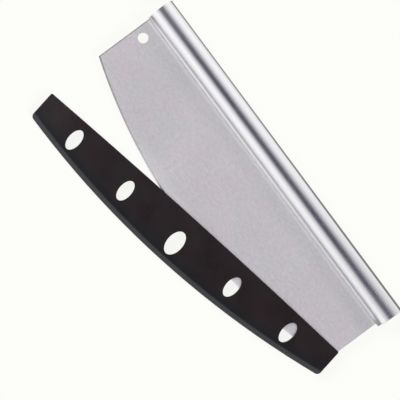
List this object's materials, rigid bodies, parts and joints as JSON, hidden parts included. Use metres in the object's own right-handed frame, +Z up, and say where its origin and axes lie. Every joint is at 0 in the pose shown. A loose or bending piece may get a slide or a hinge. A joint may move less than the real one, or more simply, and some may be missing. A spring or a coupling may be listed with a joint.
{
  "type": "rocking pizza knife",
  "caption": "Rocking pizza knife: long arc-edged steel blade gripped by a full-length tube handle, with a hanging hole and a slip-on edge cover with oval windows.",
  "frame": {"origin": "on the table, under the middle of the knife's bounding box as it lies with its cover swung part way off", "axes": "+X along the handle from the toe (the end with the hanging hole) to the heel, +Y across the blade towards the handle's back, +Z up from the table"},
  "size_m": [0.3576, 0.1676, 0.0234],
  "materials": {
    "blade_steel": "fine satin",
    "handle_steel": "polished satin, drawn along the tube",
    "cover_plastic": "matt moulded black"
  },
  "bodies": {
    "knife": {"blade": "blade_steel", "handle_tube": "handle_steel", "toe_end_cap": "handle_steel", "heel_end_cap": "handle_steel"},
    "cover": {"blade_cover": "cover_plastic"}
  },
  "joints": [
    {"name": "cover_swing", "type": "hinge", "parent": "knife", "child": "cover", "pos_m": [0.1729, -0.00088, 0.0076], "axis": [0, -0.056, 0.9984], "range_deg": [-11.3, 48.7]}
  ]
}
